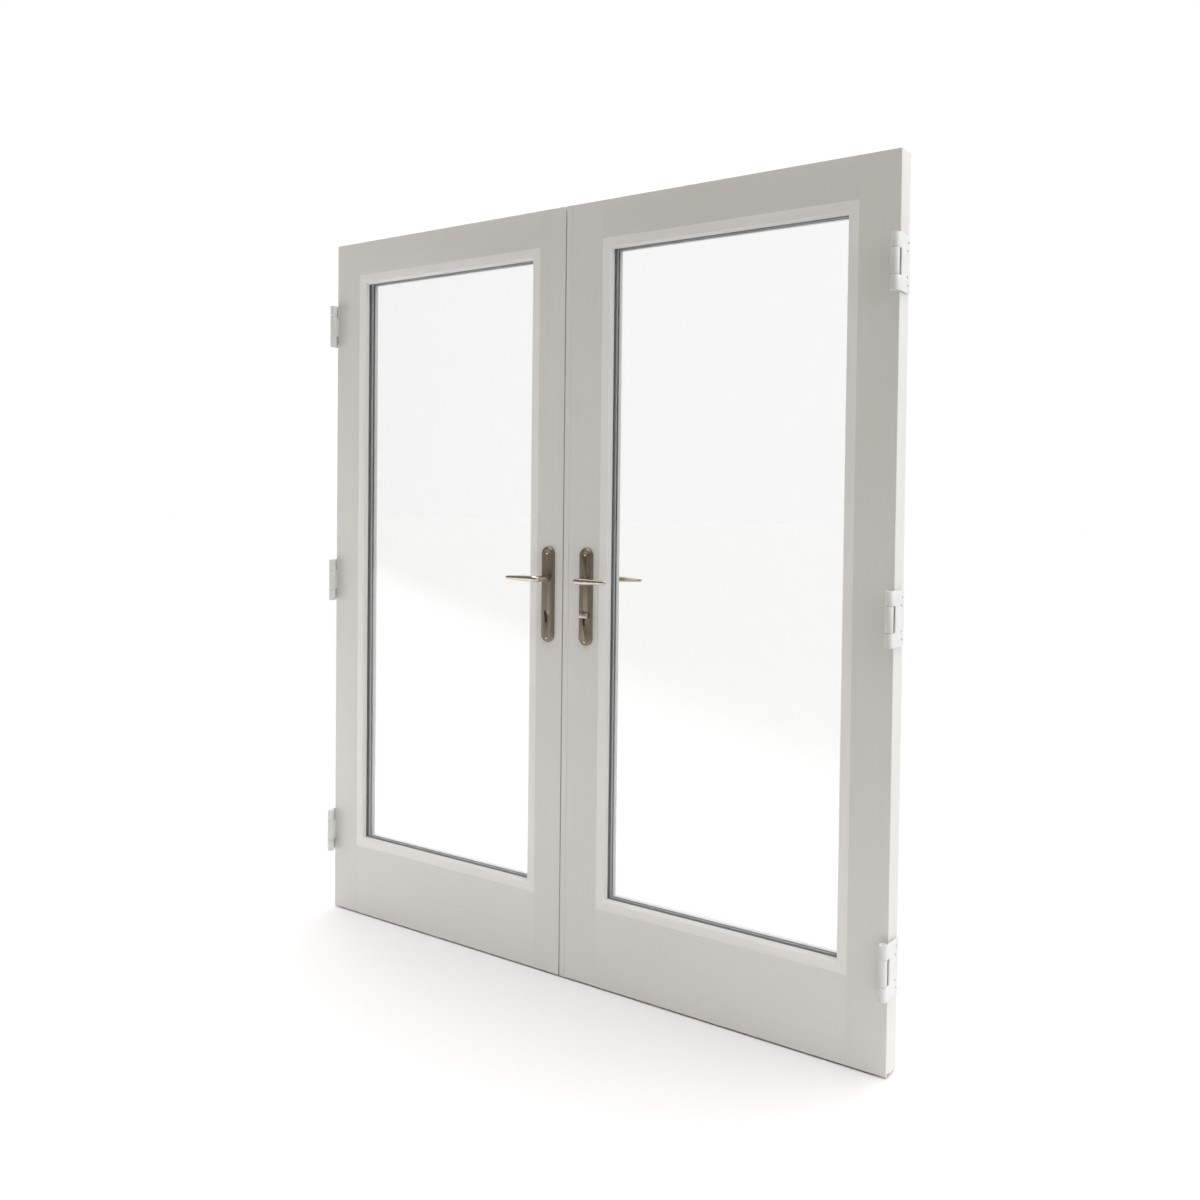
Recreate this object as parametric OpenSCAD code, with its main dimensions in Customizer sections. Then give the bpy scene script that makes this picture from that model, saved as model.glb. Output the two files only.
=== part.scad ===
// Pair of glazed doors, hung on projecting butt hinges, with a lift-lever lock in each leaf.
// +Z is up, the hinge knuckles and the glazing beads face -Y, and the origin is on the floor
// under the middle of the pair. Each leaf is drawn on the +X side of the middle and mirrored.

/* [Pair] */
// Width across both leaves
pair_w = 1800; // [1300:10:2400]
// Height of the leaves
door_h = 2040; // [1700:10:2500]
// Thickness of the leaves
door_t = 54; // [45:1:70]
// Distance from the middle of the pair to the joint between the leaves
joint_shift = 16; // [10:1:30]
// Clearance between the two leaves
meeting_gap = 3; // [2.5:0.5:6]
// Amount by which each meeting edge falls away towards the back
meeting_bevel = 2.2; // [1.8:0.2:4]

/* [Timber] */
// Width of a hinge stile, outside its glazing bead
hinge_stile_w = 97; // [75:1:130]
// Distance from the middle of the pair to the inner edge of each meeting stile
meeting_reach = 103; // [95:1:140]
// Height of the top rail, outside its glazing bead
top_rail_h = 98; // [80:1:140]
// Height of the bottom rail, outside its glazing bead
bottom_rail_h = 205; // [120:1:320]
// Length of the tenons on the rails
tenon_len = 45; // [20:1:50]
// Thickness of the tenons
tenon_t = 16; // [10:1:20]
// Width of the groove along the underside
seal_groove_w = 12; // [6:1:16]
// Depth of the groove along the underside
seal_groove_d = 6; // [4:1:12]
// Width of the flush bead on the meeting edge
meeting_bead_w = 19; // [14:1:30]
// Depth of the flush bead on the meeting edge
meeting_bead_d = 11; // [8:1:12]
// Width of the quirk on each side of the flush bead
quirk = 1.5; // [0.5:0.5:3]

/* [Glazing] */
// Face width of a glazing bead
bead_face = 24; // [16:1:32]
// Depth of a glazing bead
bead_d = 12; // [9:1:16]
// Slope of a glazing bead towards the glass
bead_slope = 5.5; // [2:0.5:8]
// Thickness of each pane
pane_t = 6; // [4:1:8]
// Space between the panes
spacer_d = 12; // [8:1:16]
// Thickness of the glazing gaskets
gasket_t = 3; // [2:0.5:5]
// Width of the glazing gaskets
gasket_w = 8; // [5:1:12]
// Clearance round the edge of the panes
pane_gap = 4; // [3:0.5:8]
// Length of the setting blocks under the panes
block_len = 100; // [50:5:150]

/* [Hinges] */
// Height of each hinge
hinge_h = 125; // [90:1:160]
// Distance from the top of the leaf to the middle of the top hinge
top_hinge_drop = 248; // [150:1:400]
// Height of the middle of the middle hinge
middle_hinge_z = 1016; // [700:1:1300]
// Height of the middle of the bottom hinge
bottom_hinge_z = 240; // [150:1:400]
// Length of the middle knuckle
middle_knuckle_h = 59; // [40:1:70]
// Radius of the knuckles, which stand flush with the back of the outer hinge leaves
knuckle_r = 9.5; // [8:0.1:11.5]
// Radius of the hinge pins
pin_r = 4; // [3:0.5:5]
// Distance of the pin in front of the face of the door
pin_out = 20; // [12:1:30]
// Distance from the pin to the free edge of a hinge leaf
hinge_leaf_w = 62.5; // [50:0.5:75]
// Thickness of a hinge leaf
hinge_t = 3; // [2:0.5:4]
// Clearance between the two leaves of a closed hinge
hinge_gap = 3; // [2:0.5:5]
// Height between the two outer screws of a hinge leaf
outer_screw_pitch = 93; // [70:1:105]
// Height between the two inner screws of a hinge leaf
inner_screw_pitch = 57; // [35:1:65]
// Distance from the free edge of a hinge leaf to its outer screws
screw_edge = 11; // [8:1:16]
// Distance by which the inner screws stand nearer to the pin
screw_stagger = 4; // [0:1:8]

/* [Furniture] */
// Height of the lever spindle
spindle_z = 1060; // [900:5:1150]
// Distance of the spindle from the middle of the pair
spindle_reach = 63; // [58:1:75]
// Side of the square spindle
spindle_side = 8; // [7:0.5:10]
// Distance from the spindle down to the middle of the key cylinder
cylinder_drop = 92; // [72:1:100]
// Width of a handle plate
plate_w = 42; // [34:1:50]
// Distance from the spindle to the top of a handle plate
plate_up = 84; // [70:1:100]
// Distance from the spindle to the bottom of a handle plate
plate_down = 171; // [140:1:200]
// Thickness of a handle plate
plate_t = 8; // [7:1:12]
// Width and depth of the chamfer round a handle plate
plate_chamfer = 4; // [1:0.5:5]
// Distance from the spindle up to the upper plate screw
upper_screw_up = 68; // [62:1:80]
// Distance from the spindle down to the lower plate screw
lower_screw_down = 159; // [152:1:165]
// Distance from the face of the door to the middle of the grip
lever_out = 55; // [40:1:70]
// Distance from the spindle to the tip of the grip
lever_len = 103; // [85:1:130]
// Radius of the lever's neck
neck_r = 7.5; // [7:0.5:10]
// Radius of the collar at the foot of the neck
collar_r = 11; // [10:0.5:14]
// Height of the collar
collar_h = 4; // [2:0.5:6]
// Radius of the grip at the neck
grip_r = 8.2; // [7:0.2:10]
// Radius of the grip at its tip
tip_r = 4.6; // [3:0.2:6]

/* [Lock] */
// Travel of the bolts and rods when a lever is lifted
bolt_throw = 20; // [14:1:22]
// Width of the flat bars on the meeting edges
faceplate_w = 24; // [20:1:26]
// Thickness of the flat bars on the meeting edges
faceplate_t = 3; // [2:0.5:4]
// Height of the lower end of the flat bars
faceplate_z0 = 230; // [215:5:280]
// Distance from the top of the leaf to the upper end of the flat bars
faceplate_drop = 230; // [150:10:500]
// Height of the lower round bolt
lower_bolt_z = 300; // [290:5:500]
// Distance from the top of the leaf to the upper round bolt
upper_bolt_drop = 300; // [270:10:500]
// Distance from the spindle down to the middle bolt
middle_bolt_drop = 36; // [30:1:46]
// Height of the middle bolt
middle_bolt_h = 28; // [16:1:32]
// Thickness of the bolts
bolt_t = 12; // [8:1:12]
// Length of the bolts
bolt_len = 42; // [36:1:46]
// Thickness of the lock cases
case_t = 17; // [16:0.5:20]
// Radius of the shoot rods
rod_r = 5; // [3:0.5:6]

/* [Hidden] */
$fn = 64;
LEFT = -1;
RIGHT = 1;

// Clearances
fit = 0.05;
running_fit = 0.06;
slack = 0.3;
pocket_slack = 1.5;
joint_slack = 0.1;
eps = 0.01;
past = 1;

// Leaves. U is the distance from the middle of the pair towards the hinges.
half_w = pair_w / 2;
front_y = -door_t / 2;
back_y = door_t / 2;
hinge_inner_u = half_w - hinge_stile_w;
lip_y = front_y + bead_d + 2 * gasket_t + 2 * pane_t + spacer_d;
opening_u0 = meeting_reach + bead_face + bead_slope;
opening_u1 = hinge_inner_u - bead_face - bead_slope;
opening_z0 = bottom_rail_h + bead_face + bead_slope;
opening_z1 = door_h - top_rail_h - bead_face - bead_slope;
rebate_z0 = bottom_rail_h;
rebate_z1 = door_h - top_rail_h;
cover = bead_face + bead_slope;
tenon_shoulder = 20;
setting_inset = (hinge_inner_u - meeting_reach) / 5;
groove_in = 11;
groove_y = front_y + groove_in;
bead_end_u = -joint_shift + meeting_gap / 2 + meeting_bead_w;

// Hinges
pin_u = half_w + hinge_gap + hinge_t - knuckle_r;
pin_y = front_y - pin_out;
hinge_zs = [bottom_hinge_z, middle_hinge_z, door_h - top_hinge_drop];
knuckle_gap = 0.5;
knuckle_clear = 5;
hinge_end_y = pin_y + hinge_leaf_w;
outer_screw_y = hinge_end_y - screw_edge;
inner_screw_y = outer_screw_y - screw_stagger;
// Each entry is the Y and the height of a screw, counted from the middle of its hinge
hinge_screws = [
    [outer_screw_y, outer_screw_pitch / 2], [outer_screw_y, -outer_screw_pitch / 2],
    [inner_screw_y, inner_screw_pitch / 2], [inner_screw_y, -inner_screw_pitch / 2]];

// Wood screws
screw_r = 2;
screw_hole_r = 2.6;
door_screw_hole_r = screw_r + slack;
screw_head_r = 4.6;
screw_head_h = 1.5;
screw_len = 30;

// Furniture
cylinder_z = spindle_z - cylinder_drop;
cylinder_r = 8.5;
cylinder_stem_w = 10;
cylinder_stem_down = 24.5;
cylinder_recess = 6;
plate_hole_slack = 0.2;
spindle_hole_r = collar_r - 2;
door_hole_slack = 0.7;
key_slot_w = 1.6;
key_slot_h = 8;
key_slot_d = 1.5;
plate_bolt_r = 2.5;
plate_bolt_head_r = 4.5;
plate_bolt_head_h = 2.2;
plate_bolt_grip = 5;
socket_d = 25;
turn_plug_r = 6.5;
turn_plug_len = 20;
turn_stub_r = 5;
turn_w = 28;
turn_h = 10;
turn_d = 7;
turn_clear = 1.5;

// Lock
face_recess = 0.25;
rail_w = 18;
rail_t = 3;
rail_margin = 20;
middle_bolt_z = spindle_z - middle_bolt_drop;
case_up = 54;
case_down = 144;
case_back = 18;
case_wall = 6;
bolt_case_h = 80;
faceplate_z1 = door_h - faceplate_drop;
upper_bolt_z = door_h - upper_bolt_drop;
rail_z0 = lower_bolt_z - rail_margin - bolt_throw;
rail_z1 = upper_bolt_z + rail_margin;
faceplate_screw_inset = 10;
faceplate_screw_len = 18;
faceplate_screw_zs = [faceplate_z0 + faceplate_screw_inset, faceplate_z1 - faceplate_screw_inset];
keep_d = bolt_throw + 1;
bolt_zs = [lower_bolt_z, middle_bolt_z, upper_bolt_z];
rod_wall = 2.5;
rod_u = joint_shift + meeting_gap / 2 + keep_d + rod_wall + rod_r;
rod_in_case = bolt_throw + 8;
rod_end_slack = 1;

// Distance from the middle of the pair to the front arris of a leaf's meeting edge
function edge_u(side) = meeting_gap / 2 - side * joint_shift;
// The same edge at a given Y, which the bevel moves inwards towards the back
function edge_at(side, y) = edge_u(side) + meeting_bevel * (y - front_y) / door_t;
// Outer face of a flat bar let into the meeting edge
function bar_u(side) = edge_at(side, faceplate_w / 2) + face_recess;
// Front of the cases: behind the flat bar, and on the right leaf behind the drive rail too
function case_front_u(side) = bar_u(side) + faceplate_t + (side > 0 ? rail_t + 2 * slack : 0);

module on_side(side) {
    mirror([side < 0 ? 1 : 0, 0, 0]) children();
}

module block(u, y, z) {
    translate([u[0], y[0], z[0]]) cube([u[1] - u[0], y[1] - y[0], z[1] - z[0]]);
}

// A cylinder along Y, from y0 to y1
module bore_y(r, u, y0, y1, z) {
    translate([u, y0, z]) rotate([-90, 0, 0]) cylinder(r = r, h = y1 - y0);
}

// A cylinder along U, from u0 to u1
module bore_u(r, u0, u1, y, z) {
    translate([u0, y, z]) rotate([0, 90, 0]) cylinder(r = r, h = u1 - u0);
}

// A countersunk screw whose head lies at u_head, pointing along direction
module wood_screw(u_head, direction, y, z, len) {
    translate([u_head, y, z]) rotate([0, 90 * direction, 0]) {
        cylinder(r1 = screw_head_r, r2 = screw_r, h = screw_head_h);
        translate([0, 0, screw_head_h - eps]) cylinder(r = screw_r, h = len - screw_head_h);
    }
}

// The pilot hole of the same screw in timber
module pilot(u_head, direction, y, z, len) {
    translate([u_head, y, z]) rotate([0, 90 * direction, 0])
        cylinder(r = screw_r + fit, h = len + slack);
}

// The countersunk hole of the same screw in metal
module countersink(u_head, direction, y, z, depth, hole_r) {
    translate([u_head, y, z]) rotate([0, 90 * direction, 0]) {
        translate([0, 0, -eps]) cylinder(r1 = screw_head_r + fit, r2 = hole_r, h = screw_head_h);
        cylinder(r = hole_r, h = depth + past);
    }
}

// ---------------------------------------------------------------- timber

module seal_groove(u0, u1) {
    block([u0, u1], [groove_y - seal_groove_w / 2, groove_y + seal_groove_w / 2],
        [-past, seal_groove_d]);
}

module mortises(inner_u, direction, grow) {
    u = direction > 0 ? [inner_u - past, inner_u + tenon_len + grow]
        : [inner_u - tenon_len - grow, inner_u + past];
    y = [-tenon_t / 2 - grow, tenon_t / 2 + grow];
    block(u, y, [tenon_shoulder - grow, bottom_rail_h - tenon_shoulder + grow]);
    block(u, y, [rebate_z1 + tenon_shoulder - grow, door_h - tenon_shoulder + grow]);
}

module hinge_stile() {
    color("white") difference() {
        union() {
            block([hinge_inner_u, half_w], [front_y, back_y], [0, door_h]);
            block([opening_u1, hinge_inner_u], [lip_y, back_y], [opening_z0, opening_z1]);
        }
        mortises(hinge_inner_u, 1, joint_slack);
        seal_groove(hinge_inner_u - past, half_w + past);
        for (z = hinge_zs) {
            block([half_w - hinge_t, half_w + past], [front_y - past, hinge_end_y],
                [z - hinge_h / 2, z + hinge_h / 2]);
            for (s = hinge_screws) pilot(half_w, -1, s[0], z + s[1], screw_len);
        }
    }
}

module profile_hole(grow, y0, y1) {
    bore_y(cylinder_r + grow, spindle_reach, y0, y1, cylinder_z);
    block([spindle_reach - cylinder_stem_w / 2 - grow, spindle_reach + cylinder_stem_w / 2 + grow],
        [y0, y1], [cylinder_z - cylinder_stem_down - grow, cylinder_z]);
}

module furniture_holes() {
    bore_y(spindle_hole_r, spindle_reach, front_y - past, back_y + past, spindle_z);
    profile_hole(door_hole_slack, front_y - past, back_y + past);
    for (z = [spindle_z + upper_screw_up, spindle_z - lower_screw_down])
        bore_y(plate_bolt_r + slack, spindle_reach, front_y - past, back_y + past, z);
}

module lock_case_pocket(side, grow) {
    block([bar_u(side), spindle_reach + case_back + grow],
        [-case_t / 2 - grow, case_t / 2 + grow],
        [spindle_z - case_down - grow, spindle_z + case_up + grow]);
}

module faceplate_recess(side) {
    block([edge_u(side) - past, bar_u(side) + faceplate_t],
        [-faceplate_w / 2 - fit, faceplate_w / 2 + fit], [faceplate_z0 - fit, faceplate_z1 + fit]);
}

// The pockets in the left leaf which take the bolts of the right leaf
module keep_pockets(u0) {
    for (z = bolt_zs) {
        h = z == middle_bolt_z ? middle_bolt_h : bolt_t;
        block([u0, edge_u(LEFT) + keep_d], [-bolt_t / 2 - pocket_slack, bolt_t / 2 + pocket_slack],
            [z - h / 2 - pocket_slack, z + h / 2 + pocket_slack]);
    }
}

module rod_channels(grow) {
    translate([rod_u, 0, -past]) cylinder(r = rod_r + grow, h = spindle_z - case_down + past + eps);
    translate([rod_u, 0, spindle_z + case_up - eps])
        cylinder(r = rod_r + grow, h = door_h - spindle_z - case_up + past + eps);
}

module drive_groove() {
    block([bar_u(RIGHT) + faceplate_t - eps, case_front_u(RIGHT)],
        [-rail_w / 2 - slack, rail_w / 2 + slack], [rail_z0 - slack, rail_z1 + bolt_throw + slack]);
}

module bolt_case_pockets(grow) {
    for (z = [lower_bolt_z, upper_bolt_z])
        block([case_front_u(RIGHT) - eps, case_front_u(RIGHT) + bolt_len + case_wall + grow],
            [-case_t / 2 - grow, case_t / 2 + grow],
            [z - bolt_case_h / 2 - grow, z + bolt_case_h / 2 + grow]);
}

module meeting_stile(side) {
    color("white") difference() {
        union() {
            linear_extrude(door_h) polygon([[edge_u(side), front_y], [meeting_reach, front_y],
                [meeting_reach, back_y], [edge_at(side, back_y), back_y]]);
            block([meeting_reach, opening_u0], [lip_y, back_y], [opening_z0, opening_z1]);
        }
        mortises(meeting_reach, -1, joint_slack);
        seal_groove(edge_u(side) - past, meeting_reach + past);
        faceplate_recess(side);
        lock_case_pocket(side, fit);
        furniture_holes();
        for (z = faceplate_screw_zs) pilot(bar_u(side), 1, 0, z, faceplate_screw_len);
        if (side == LEFT) {
            keep_pockets(edge_u(LEFT) - past);
            rod_channels(slack);
        } else {
            block([edge_u(side) - past, bead_end_u], [front_y - past, front_y + meeting_bead_d],
                [-past, door_h + past]);
            drive_groove();
            bolt_case_pockets(fit);
        }
    }
}

module rail(z0, z1, lip_z0, lip_z1) {
    color("white") difference() {
        union() {
            block([meeting_reach, hinge_inner_u], [front_y, back_y], [z0, z1]);
            block([meeting_reach, hinge_inner_u], [lip_y, back_y], [lip_z0, lip_z1]);
            block([meeting_reach - tenon_len, hinge_inner_u + tenon_len],
                [-tenon_t / 2, tenon_t / 2], [z0 + tenon_shoulder, z1 - tenon_shoulder]);
        }
        if (z0 == 0) seal_groove(meeting_reach - past, hinge_inner_u + past);
    }
}

module top_rail() {
    rail(rebate_z1, door_h, opening_z1, rebate_z1);
}

module bottom_rail() {
    rail(0, rebate_z0, rebate_z0, opening_z0);
}

// The bead let into the front arris of the right leaf's meeting edge
module meeting_bead() {
    u0 = edge_u(RIGHT);
    front = front_y;
    color("white") difference() {
        linear_extrude(door_h) polygon([[u0 + quirk, front], [bead_end_u - quirk, front],
            [bead_end_u, front + quirk], [bead_end_u, front + meeting_bead_d],
            [u0 + meeting_bevel * meeting_bead_d / door_t, front + meeting_bead_d],
            [u0, front + quirk]]);
        seal_groove(u0 - past, bead_end_u + past);
    }
}

// ---------------------------------------------------------------- glazing

module bead_section() {
    polygon([[0, 0], [bead_face, 0], [bead_face + bead_slope, bead_d], [0, bead_d]]);
}

module hinge_side_bead() {
    color("white") intersection() {
        translate([hinge_inner_u, front_y, 0]) mirror([1, 0, 0]) linear_extrude(door_h) bead_section();
        mitre_wedge([hinge_inner_u, rebate_z0], [hinge_inner_u, rebate_z1], -1);
    }
}

module meeting_side_bead() {
    color("white") intersection() {
        translate([meeting_reach, front_y, 0]) linear_extrude(door_h) bead_section();
        mitre_wedge([meeting_reach, rebate_z0], [meeting_reach, rebate_z1], 1);
    }
}

// A prism along Y over an upright side of the opening, cut at 45 degrees at both ends
module mitre_wedge(low, high, direction) {
    reach = direction * (cover + past);
    rise = cover + past;
    translate([0, back_y, 0]) rotate([90, 0, 0]) linear_extrude(door_t) polygon([
        low, high, [high[0] + reach, high[1] - rise], [low[0] + reach, low[1] + rise]]);
}

// The same for a level side of the opening
module level_wedge(z, direction) {
    rise = direction * (cover + past);
    reach = cover + past;
    translate([0, back_y, 0]) rotate([90, 0, 0]) linear_extrude(door_t) polygon([
        [meeting_reach, z], [hinge_inner_u, z],
        [hinge_inner_u - reach, z + rise], [meeting_reach + reach, z + rise]]);
}

module level_bead(z, direction) {
    color("white") intersection() {
        translate([0, front_y, z]) mirror([0, 0, direction > 0 ? 0 : 1])
            rotate([90, 0, 90]) linear_extrude(half_w) bead_profile_up();
        level_wedge(z, direction);
    }
}

// Section of a level bead: depth across, face width upwards
module bead_profile_up() {
    polygon([[0, 0], [bead_d, 0], [bead_d, bead_face + bead_slope], [0, bead_face]]);
}

// A ring between the edge of the panes, or a line further in, and the edge of the opening
module glazing_ring(width, y0, depth) {
    difference() {
        block([opening_u0 - width, opening_u1 + width], [y0, y0 + depth],
            [opening_z0 - width, opening_z1 + width]);
        block([opening_u0, opening_u1], [y0 - past, y0 + depth + past], [opening_z0, opening_z1]);
    }
}

module pane(y0) {
    color([0.8, 0.9, 0.9, 0.35]) block([meeting_reach + pane_gap, hinge_inner_u - pane_gap],
        [y0, y0 + pane_t], [rebate_z0 + pane_gap, rebate_z1 - pane_gap]);
}

module front_pane() {
    pane(front_y + bead_d + gasket_t);
}

module back_pane() {
    pane(lip_y - gasket_t - pane_t);
}

module spacer() {
    color([0.1, 0.11, 0.1]) glazing_ring(cover - pane_gap, front_y + bead_d + gasket_t + pane_t, spacer_d);
}

module gaskets() {
    unit_y0 = front_y + bead_d + gasket_t;
    unit_y1 = lip_y - gasket_t;
    color([0.55, 0.55, 0.54]) {
        glazing_ring(gasket_w, front_y + bead_d, gasket_t);
        glazing_ring(gasket_w, lip_y - gasket_t, gasket_t);
        for (u = [meeting_reach + setting_inset, hinge_inner_u - setting_inset])
            block([u - block_len / 2, u + block_len / 2], [unit_y0, unit_y1],
                [rebate_z0, rebate_z0 + pane_gap]);
    }
}

// ---------------------------------------------------------------- hinges

module knuckle(z0, z1) {
    translate([pin_u, pin_y, z0]) cylinder(r = knuckle_r, h = z1 - z0);
}

module pin_bore(grow) {
    translate([pin_u, pin_y, -past]) cylinder(r = pin_r + grow, h = door_h + 2 * past);
}

module door_hinge_leaf(z) {
    half_mid = middle_knuckle_h / 2 - knuckle_gap / 2;
    difference() {
        union() {
            block([half_w - hinge_t, half_w], [front_y, hinge_end_y], [z - hinge_h / 2, z + hinge_h / 2]);
            block([half_w - hinge_t, half_w], [pin_y, front_y + eps], [z - half_mid, z + half_mid]);
            knuckle(z - half_mid, z + half_mid);
        }
        pin_bore(running_fit);
        for (s = hinge_screws) countersink(half_w, -1, s[0], z + s[1], hinge_t, door_screw_hole_r);
    }
}

module door_hinge_leaves() {
    color([0.93, 0.93, 0.92]) for (z = hinge_zs) door_hinge_leaf(z);
}

module frame_hinge_leaf(z) {
    half_mid = middle_knuckle_h / 2 + knuckle_gap / 2;
    plate_u = [half_w + hinge_gap, half_w + hinge_gap + hinge_t];
    difference() {
        union() {
            block(plate_u, [pin_y, hinge_end_y], [z - hinge_h / 2, z + hinge_h / 2]);
            for (s = [-1, 1]) knuckle(min(z + s * half_mid, z + s * hinge_h / 2),
                max(z + s * half_mid, z + s * hinge_h / 2));
        }
        block([half_w, plate_u[1] + past], [pin_y - knuckle_r - past, pin_y + knuckle_r + knuckle_clear],
            [z - half_mid, z + half_mid]);
        pin_bore(fit);
        for (s = hinge_screws) countersink(plate_u[0], 1, s[0], z + s[1], hinge_t, screw_hole_r);
    }
}

module frame_hinge_leaves() {
    color([0.93, 0.93, 0.92]) for (z = hinge_zs) frame_hinge_leaf(z);
}

module hinge_pins() {
    color([0.75, 0.75, 0.74]) for (z = hinge_zs)
        translate([pin_u, pin_y, z - hinge_h / 2 + knuckle_gap])
            cylinder(r = pin_r, h = hinge_h - 2 * knuckle_gap);
}

module wood_screws(side) {
    color([0.8, 0.8, 0.78]) {
        for (z = hinge_zs) for (s = hinge_screws) wood_screw(half_w, -1, s[0], z + s[1], screw_len);
        for (z = faceplate_screw_zs) wood_screw(bar_u(side), 1, 0, z, faceplate_screw_len);
    }
}

// ---------------------------------------------------------------- furniture

// Mirrors what it draws at the front face to the back face
module on_face(face) {
    mirror([0, face > 0 ? 1 : 0, 0]) children();
}

module plate_blank() {
    straight = plate_t - plate_chamfer;
    low = spindle_z - plate_down + plate_w / 2;
    high = spindle_z + plate_up - plate_w / 2;
    translate([spindle_reach, front_y, 0]) {
        for (z = [low, high]) translate([0, 0, z]) rotate([90, 0, 0]) {
            cylinder(r = plate_w / 2, h = straight);
            translate([0, 0, straight - eps])
                cylinder(r1 = plate_w / 2, r2 = plate_w / 2 - plate_chamfer, h = plate_chamfer + eps);
        }
        translate([0, 0, low]) linear_extrude(high - low) polygon([
            [-plate_w / 2, 0], [plate_w / 2, 0], [plate_w / 2, -straight],
            [plate_w / 2 - plate_chamfer, -plate_t], [-plate_w / 2 + plate_chamfer, -plate_t],
            [-plate_w / 2, -straight]]);
    }
}

// Draws its children at both plate screws
module at_plate_screws() {
    for (z = [spindle_z + upper_screw_up, spindle_z - lower_screw_down])
        translate([spindle_reach, 0, z]) children();
}

module handle_plate(face) {
    color([0.55, 0.51, 0.46]) on_face(face) difference() {
        plate_blank();
        bore_y(neck_r + running_fit, spindle_reach, front_y - plate_t - past, front_y + past, spindle_z);
        profile_hole(plate_hole_slack, front_y - plate_t - past, front_y + past);
        at_plate_screws() rotate([90, 0, 0]) {
            if (face < 0) {
                translate([0, 0, -front_y - past]) cylinder(r = plate_bolt_r + fit, h = plate_t + 2 * past);
                translate([0, 0, -front_y + plate_t - plate_bolt_head_h])
                    cylinder(r1 = plate_bolt_r + fit, r2 = plate_bolt_head_r + fit,
                        h = plate_bolt_head_h + eps);
            } else {
                translate([0, 0, -front_y - past])
                    cylinder(r = plate_bolt_r + fit, h = plate_bolt_grip + slack + past);
            }
        }
    }
}

module plate_screws() {
    reach = door_t + plate_t + plate_bolt_grip;
    color([0.6, 0.58, 0.55]) at_plate_screws() translate([0, front_y - plate_t, 0]) rotate([-90, 0, 0]) {
        cylinder(r1 = plate_bolt_head_r, r2 = plate_bolt_r, h = plate_bolt_head_h);
        cylinder(r = plate_bolt_r, h = reach);
    }
}

module lever(face) {
    grip_y = front_y - lever_out;
    plate_face_y = front_y - plate_t;
    grip_len = lever_len - tip_r;
    color([0.62, 0.58, 0.53]) on_face(face) difference() {
        union() {
            bore_y(neck_r, spindle_reach, grip_y, front_y - slack, spindle_z);
            bore_y(collar_r, spindle_reach, plate_face_y - slack - collar_h, plate_face_y - slack,
                spindle_z);
            translate([spindle_reach, grip_y, spindle_z]) {
                sphere(r = grip_r);
                rotate([0, 90, 0]) cylinder(r1 = grip_r, r2 = tip_r, h = grip_len);
                translate([grip_len, 0, 0]) sphere(r = tip_r);
            }
        }
        block([spindle_reach - spindle_side / 2, spindle_reach + spindle_side / 2],
            [front_y - socket_d, front_y + past],
            [spindle_z - spindle_side / 2, spindle_z + spindle_side / 2]);
    }
}

module spindle() {
    reach = door_t / 2 + socket_d;
    color([0.6, 0.6, 0.6]) block([spindle_reach - spindle_side / 2, spindle_reach + spindle_side / 2],
        [-reach, reach], [spindle_z - spindle_side / 2, spindle_z + spindle_side / 2]);
}

module key_slot(y) {
    block([spindle_reach - key_slot_w / 2, spindle_reach + key_slot_w / 2],
        [y - key_slot_d, y + key_slot_d], [cylinder_z - key_slot_h / 2, cylinder_z + key_slot_h / 2]);
}

module key_cylinder(side) {
    face_y = front_y - plate_t + cylinder_recess;
    color([0.5, 0.48, 0.44]) difference() {
        profile_hole(0, face_y, back_y + plate_t);
        key_slot(back_y + plate_t);
        if (side == LEFT) key_slot(face_y);
        else bore_y(turn_plug_r + running_fit, spindle_reach, face_y - past,
            face_y + turn_plug_len + slack, cylinder_z);
    }
}

module thumb_turn() {
    face_y = front_y - plate_t + cylinder_recess;
    grip_y = front_y - plate_t - turn_clear;
    color([0.62, 0.58, 0.53]) {
        bore_y(turn_plug_r, spindle_reach, face_y, face_y + turn_plug_len, cylinder_z);
        bore_y(turn_stub_r, spindle_reach, grip_y - eps, face_y + eps, cylinder_z);
        for (s = [-1, 1]) bore_y(turn_h / 2, spindle_reach + s * (turn_w - turn_h) / 2,
            grip_y - turn_d, grip_y, cylinder_z);
        block([spindle_reach - (turn_w - turn_h) / 2, spindle_reach + (turn_w - turn_h) / 2],
            [grip_y - turn_d, grip_y], [cylinder_z - turn_h / 2, cylinder_z + turn_h / 2]);
    }
}

// ---------------------------------------------------------------- locks

module lock_case(side) {
    color([0.7, 0.7, 0.68]) difference() {
        block([case_front_u(side), spindle_reach + case_back], [-case_t / 2, case_t / 2],
            [spindle_z - case_down, spindle_z + case_up]);
        bore_y(spindle_hole_r, spindle_reach, -case_t, case_t, spindle_z);
        profile_hole(plate_hole_slack, -case_t, case_t);
        if (side == LEFT) {
            keep_pockets(case_front_u(LEFT) - past);
            for (z = [spindle_z - case_down - past, spindle_z + case_up - rod_in_case - slack])
                translate([rod_u, 0, z]) cylinder(r = rod_r + slack, h = rod_in_case + slack + past);
        } else {
            middle_bolt_shape(slack, bolt_throw + slack);
        }
    }
}

module bolt_cases() {
    color([0.7, 0.7, 0.68]) difference() {
        for (z = [lower_bolt_z, upper_bolt_z])
            block([case_front_u(RIGHT), case_front_u(RIGHT) + bolt_len + case_wall],
                [-case_t / 2, case_t / 2], [z - bolt_case_h / 2, z + bolt_case_h / 2]);
        round_bolt_shapes(slack, 0);
    }
}

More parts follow.
